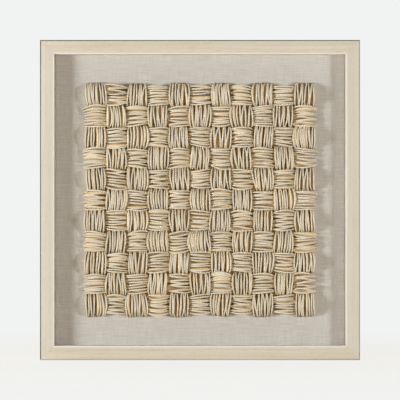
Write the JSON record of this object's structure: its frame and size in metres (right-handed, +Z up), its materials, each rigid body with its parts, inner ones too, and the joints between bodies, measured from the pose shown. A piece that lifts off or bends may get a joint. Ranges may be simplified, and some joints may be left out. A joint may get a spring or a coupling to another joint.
{
  "type": "framed quilled paper art",
  "caption": "Square glazed box frame of pale wood; bundles of folded paper discs stand on edge on linen in a chequerboard of upright and level folds.",
  "frame": {"origin": "middle of the footprint of the standing frame, on the surface it stands on", "axes": "+X to the right seen from the front, +Y from the glass to the wall, +Z up"},
  "size_m": [0.6, 0.048, 0.6],
  "materials": {
    "whitewashed_ash": "limed, matte oil",
    "clear_glass": "polished, low reflection",
    "greige_linen": "plain weave with slubs",
    "grey_board": "matte",
    "ivory_mount_board": "matte",
    "brown_hardboard": "smooth pressed fibre",
    "bare_steel": "dull",
    "zinc_plated_steel": "zinc plated, satin",
    "brown_felt": "pressed felt",
    "ivory_paper": "soft handmade paper, matte"
  },
  "bodies": {
    "root": {"back_panel": "brown_hardboard", "felt_bumper_lower_left": "brown_felt", "felt_bumper_lower_right": "brown_felt", "felt_bumper_upper_left": "brown_felt", "felt_bumper_upper_right": "brown_felt", "glass_pane": "clear_glass", "glazier_points": "bare_steel", "linen_backdrop": "greige_linen", "linen_wall_bottom": "greige_linen", "linen_wall_left": "greige_linen", "linen_wall_right": "greige_linen", "linen_wall_top": "greige_linen", "mount_board": "ivory_mount_board", "paper_row_01": "ivory_paper", "paper_row_02": "ivory_paper", "paper_row_03": "ivory_paper", "paper_row_04": "ivory_paper", "paper_row_05": "ivory_paper", "paper_row_06": "ivory_paper", "paper_row_07": "ivory_paper", "paper_row_08": "ivory_paper", "paper_row_09": "ivory_paper", "paper_row_10": "ivory_paper", "paper_row_11": "ivory_paper", "rail_bottom": "whitewashed_ash", "rail_left": "whitewashed_ash", "rail_right": "whitewashed_ash", "rail_top": "whitewashed_ash", "sawtooth_hanger_left": "zinc_plated_steel", "sawtooth_hanger_right": "zinc_plated_steel", "spacer_bottom": "grey_board", "spacer_left": "grey_board", "spacer_right": "grey_board", "spacer_top": "grey_board", "v_nails": "bare_steel"}
  },
  "joints": []
}
